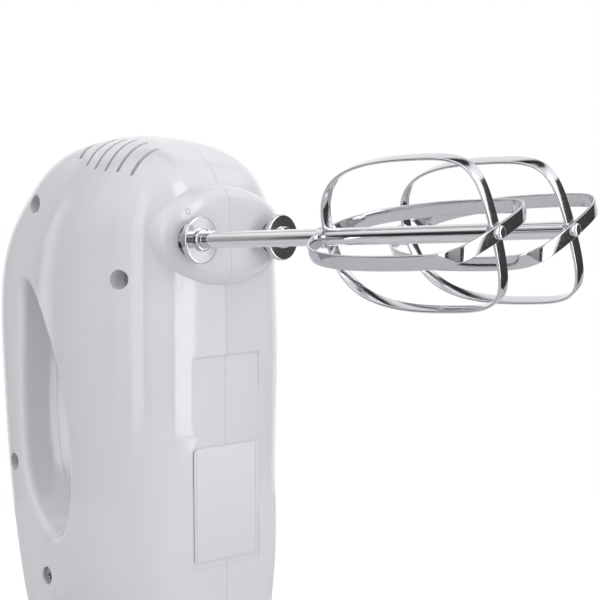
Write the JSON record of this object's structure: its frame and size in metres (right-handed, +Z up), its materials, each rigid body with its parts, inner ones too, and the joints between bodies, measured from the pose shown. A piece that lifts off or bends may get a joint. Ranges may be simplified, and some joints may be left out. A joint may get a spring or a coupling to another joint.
{
  "type": "hand mixer",
  "caption": "Hand mixer standing on its heel: moulded two-half body with a finger opening, vented nose, oval socket boss and chrome strip beaters driven by a worm on the motor shaft.",
  "frame": {"origin": "a point of the flat foot under the heel, on the seam plane", "axes": "+Z up through the nose, +X along the beaters away from the body, +Y towards the far half, away from the screw recesses"},
  "size_m": [0.2443, 0.0937, 0.1831],
  "materials": {
    "white_shell": "glossy moulded white",
    "zinc_screw": "zinc plated",
    "rubber_bush": "soft light grey",
    "sintered_bronze": "sintered",
    "lamination_steel": "stacked sheet",
    "copper_winding": "enamelled wire",
    "commutator_copper": "turned copper",
    "brass_holder": "pressed brass",
    "carbon": "carbon block",
    "spring_steel": "drawn wire",
    "black_plastic": "moulded",
    "capacitor_yellow": "moulded",
    "turned_steel": "turned",
    "fan_plastic": "moulded",
    "nylon_wheel": "moulded nylon",
    "chrome_wire": "polished chrome",
    "grey_control": "moulded light grey"
  },
  "bodies": {
    "housing": {"left_housing": "white_shell", "right_housing": "white_shell", "housing_screws": "zinc_screw", "cord_gland": "rubber_bush", "rear_bearing": "sintered_bronze", "front_bearing": "sintered_bronze", "stator_core": "lamination_steel", "left_field_coil": "copper_winding", "right_field_coil": "copper_winding", "left_brush_holder": "brass_holder", "right_brush_holder": "brass_holder", "left_carbon_brush": "carbon", "right_carbon_brush": "carbon", "left_brush_spring": "spring_steel", "right_brush_spring": "spring_steel", "gear_bracket": "black_plastic", "left_rear_bush": "sintered_bronze", "left_front_bush": "sintered_bronze", "right_rear_bush": "sintered_bronze", "right_front_bush": "sintered_bronze", "speed_switch": "black_plastic", "turbo_switch": "black_plastic", "suppressor": "capacitor_yellow", "ejector_spring": "spring_steel", "turbo_spring": "spring_steel"},
    "motor_rotor": {"motor_shaft": "turned_steel", "armature_core": "lamination_steel", "armature_winding": "copper_winding", "commutator": "commutator_copper", "cooling_fan": "fan_plastic"},
    "left_drive": {"left_worm_wheel": "nylon_wheel", "left_spindle": "turned_steel"},
    "left_pin": {"left_ejector_pin": "turned_steel"},
    "left_beater": {"left_beater_rod": "chrome_wire", "left_beater_collar": "chrome_wire", "left_outer_loop": "chrome_wire", "left_inner_loop": "chrome_wire"},
    "right_drive": {"right_worm_wheel": "nylon_wheel", "right_spindle": "turned_steel"},
    "right_pin": {"right_ejector_pin": "turned_steel"},
    "right_beater": {"right_beater_rod": "chrome_wire", "right_beater_collar": "chrome_wire", "right_outer_loop": "chrome_wire", "right_inner_loop": "chrome_wire"},
    "ejector": {"eject_button": "grey_control", "ejector_yoke": "black_plastic"},
    "speed_control": {"speed_knob": "grey_control", "speed_carriage": "black_plastic"},
    "turbo_control": {"turbo_button": "grey_control"}
  },
  "joints": [
    {"name": "motor_spin", "type": "hinge", "parent": "housing", "child": "motor_rotor", "pos_m": [0.025, 0, 0.09], "axis": [0, 0, 1], "continuous": true},
    {"name": "left_drive_spin", "type": "hinge", "parent": "housing", "child": "left_drive", "pos_m": [0.025, -0.0211, 0.145], "axis": [1, 0, 0], "continuous": true},
    {"name": "left_pin_push", "type": "slide", "parent": "left_drive", "child": "left_pin", "axis": [1, 0, 0], "range_m": [0, 0.009]},
    {"name": "left_beater_pull", "type": "slide", "parent": "left_pin", "child": "left_beater", "axis": [1, 0, 0], "range_m": [0, 0.045]},
    {"name": "right_drive_spin", "type": "hinge", "parent": "housing", "child": "right_drive", "pos_m": [0.025, 0.0211, 0.145], "axis": [1, 0, 0], "continuous": true},
    {"name": "right_pin_push", "type": "slide", "parent": "right_drive", "child": "right_pin", "axis": [1, 0, 0], "range_m": [0, 0.009]},
    {"name": "right_beater_pull", "type": "slide", "parent": "right_pin", "child": "right_beater", "axis": [1, 0, 0], "range_m": [0, 0.045]},
    {"name": "eject_press", "type": "slide", "parent": "housing", "child": "ejector", "axis": [1, 0, 0], "range_m": [0, 0.009], "stiffness_N_per_m": 350, "springref_m": -0.006, "deforming": ["ejector_spring"]},
    {"name": "speed_slide", "type": "slide", "parent": "housing", "child": "speed_control", "axis": [0, 0, -1], "range_m": [0, 0.016]},
    {"name": "turbo_press", "type": "slide", "parent": "housing", "child": "turbo_control", "axis": [1, 0, 0], "range_m": [0, 0.003], "stiffness_N_per_m": 500, "springref_m": -0.003, "deforming": ["turbo_spring"]}
  ],
  "couplings": [
    {"joint": "left_drive_spin", "follows": "motor_spin", "ratio": -0.083333},
    {"joint": "left_pin_push", "follows": "eject_press", "ratio": 1},
    {"joint": "right_drive_spin", "follows": "motor_spin", "ratio": 0.083333},
    {"joint": "right_pin_push", "follows": "eject_press", "ratio": 1}
  ]
}
